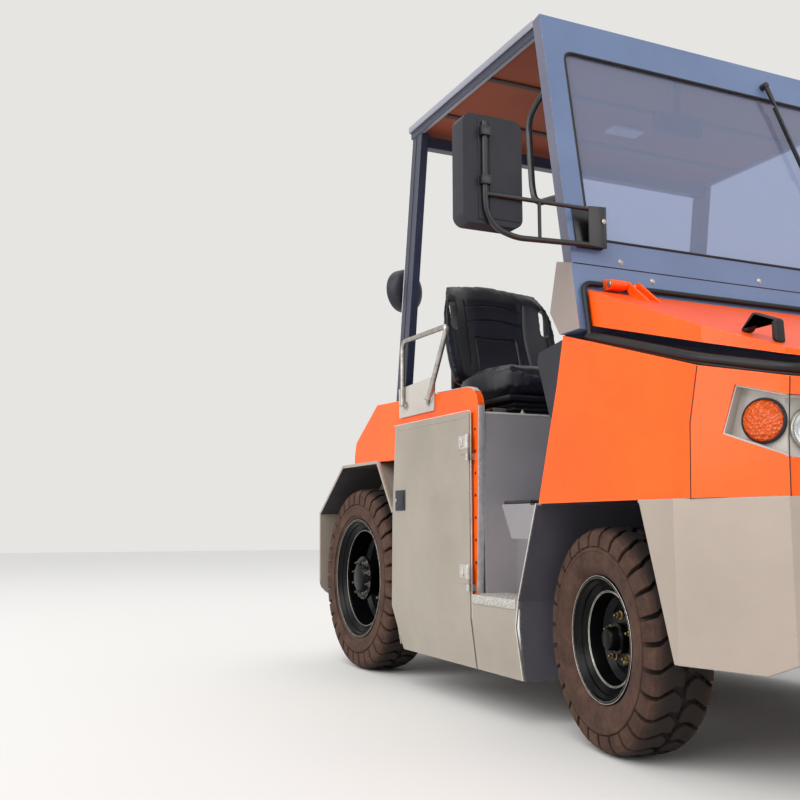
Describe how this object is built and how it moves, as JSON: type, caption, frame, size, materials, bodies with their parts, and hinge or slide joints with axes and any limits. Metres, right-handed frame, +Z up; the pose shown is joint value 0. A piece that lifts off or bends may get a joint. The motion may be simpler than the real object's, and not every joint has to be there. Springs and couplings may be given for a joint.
{
  "type": "airport baggage tug",
  "caption": "Four-wheel ride-on towing tractor with an open two-seat cab, hinged hood, side battery doors and a stacked-jaw tow coupling.",
  "frame": {"origin": "on the floor under the middle of the overall length and width", "axes": "+Z up, the front faces -Y, the driver sits at +X"},
  "size_m": [2.124, 2.96, 2.118],
  "materials": {
    "frame_black": "satin",
    "battery_steel": "satin",
    "orange_paint": "gloss",
    "grey_paint": "satin",
    "cab_grey": "satin",
    "dark_sheet": "satin",
    "black_rubber": "matte",
    "cab_blue": "satin",
    "glass": "clear",
    "roof_paint": "satin",
    "lining": "matte",
    "post_slate": "satin",
    "black_plastic": "textured",
    "black_metal": "satin",
    "seat_vinyl": "grained",
    "lamp_plate": "gloss",
    "clear_lamp": "gloss",
    "amber_lamp": "gloss",
    "red_lamp": "gloss",
    "bright_tube": "satin",
    "tyre": "matte",
    "rim_black": "gloss"
  },
  "bodies": {
    "chassis": {"chassis_frame": "frame_black", "front_axle": "frame_black", "rear_axle": "frame_black", "battery_block": "battery_steel", "body_sides": "orange_paint", "wheel_arches": "grey_paint", "rear_body": "orange_paint", "cab_floor": "cab_grey", "entry_steps": "grey_paint", "front_bumper": "grey_paint", "hood_body": "orange_paint", "wheel_houses": "dark_sheet", "hood_gasket": "black_rubber", "cowl": "cab_blue", "windshield_frame": "cab_blue", "windshield_glass": "glass", "roof": "roof_paint", "roof_lining": "lining", "rear_posts": "post_slate", "dash": "black_plastic", "pedals": "black_rubber", "seats": "seat_vinyl", "mirror_arms": "black_metal", "mirrors": "black_plastic", "lamp_housings": "lamp_plate", "head_lamps": "clear_lamp", "turn_lamps": "amber_lamp", "tail_lamps": "red_lamp", "grab_handles": "bright_tube", "cab_grips": "black_metal", "work_lamps": "black_plastic", "tow_coupling": "frame_black", "hood_hinges": "orange_paint", "door_hinges": "bright_tube"},
    "knuckle_left": {"knuckle_left": "frame_black"},
    "knuckle_right": {"knuckle_right": "frame_black"},
    "tie_rod": {"tie_rod": "frame_black"},
    "wheel_front_left": {"tyre_front_left": "tyre", "rim_front_left": "rim_black"},
    "wheel_front_right": {"tyre_front_right": "tyre", "rim_front_right": "rim_black"},
    "wheel_rear_left": {"tyre_rear_left": "tyre", "rim_rear_left": "rim_black"},
    "wheel_rear_right": {"tyre_rear_right": "tyre", "rim_rear_right": "rim_black"},
    "steering_wheel": {"steering_wheel": "black_plastic"},
    "hood_lid": {"hood_lid": "orange_paint", "hood_handle": "black_rubber"},
    "battery_door_left": {"battery_door_left": "grey_paint"},
    "battery_door_right": {"battery_door_right": "grey_paint"},
    "wiper": {"wiper": "black_metal"}
  },
  "joints": [
    {"name": "steer_left", "type": "hinge", "parent": "chassis", "child": "knuckle_left", "pos_m": [0.537, -0.815, 0.2915], "axis": [0, 0, 1], "range_deg": [-26.5, 43.5]},
    {"name": "steer_right", "type": "hinge", "parent": "chassis", "child": "knuckle_right", "pos_m": [-0.537, -0.815, 0.2915], "axis": [0, 0, 1], "range_deg": [-26.5, 43.5]},
    {"name": "tie_rod_swing", "type": "hinge", "parent": "knuckle_left", "child": "tie_rod", "pos_m": [0.55178, -0.7161, 0.2], "axis": [0, 0, 1], "range_deg": [-43.5, 26.5]},
    {"name": "spin_front_left", "type": "hinge", "parent": "knuckle_left", "child": "wheel_front_left", "pos_m": [0.61513, -0.82668, 0.2915], "axis": [0.989, -0.1478, 0], "continuous": true},
    {"name": "spin_front_right", "type": "hinge", "parent": "knuckle_right", "child": "wheel_front_right", "pos_m": [-0.61513, -0.80332, 0.2915], "axis": [0.989, -0.1478, 0], "continuous": true},
    {"name": "spin_rear_left", "type": "hinge", "parent": "chassis", "child": "wheel_rear_left", "pos_m": [0.607, 0.88, 0.37], "axis": [1, 0, 0], "continuous": true},
    {"name": "spin_rear_right", "type": "hinge", "parent": "chassis", "child": "wheel_rear_right", "pos_m": [-0.607, 0.88, 0.37], "axis": [1, 0, 0], "continuous": true},
    {"name": "steering_wheel_turn", "type": "hinge", "parent": "chassis", "child": "steering_wheel", "pos_m": [0.33, -0.41, 1.17], "axis": [0, 0.5736, 0.8192], "range_deg": [-318, 522]},
    {"name": "hood_lid_hinge", "type": "hinge", "parent": "chassis", "child": "hood_lid", "pos_m": [0, -0.793, 1.25], "axis": [-1, 0, 0], "range_deg": [0, 65]},
    {"name": "battery_door_left_hinge", "type": "hinge", "parent": "chassis", "child": "battery_door_left", "pos_m": [0.733, -0.155, 0.6], "axis": [0, 0, -1], "range_deg": [0, 110]},
    {"name": "battery_door_right_hinge", "type": "hinge", "parent": "chassis", "child": "battery_door_right", "pos_m": [-0.733, -0.155, 0.6], "axis": [0, 0, 1], "range_deg": [0, 110]},
    {"name": "wiper_sweep", "type": "hinge", "parent": "chassis", "child": "wiper", "pos_m": [0.15, -0.62188, 2.0451], "axis": [0, -0.9851, 0.1719], "range_deg": [-70, 35]}
  ],
  "couplings": [
    {"joint": "steer_right", "follows": "steer_left", "ratio": 1},
    {"joint": "tie_rod_swing", "follows": "steer_left", "ratio": -1},
    {"joint": "steering_wheel_turn", "follows": "steer_left", "ratio": 12}
  ]
}
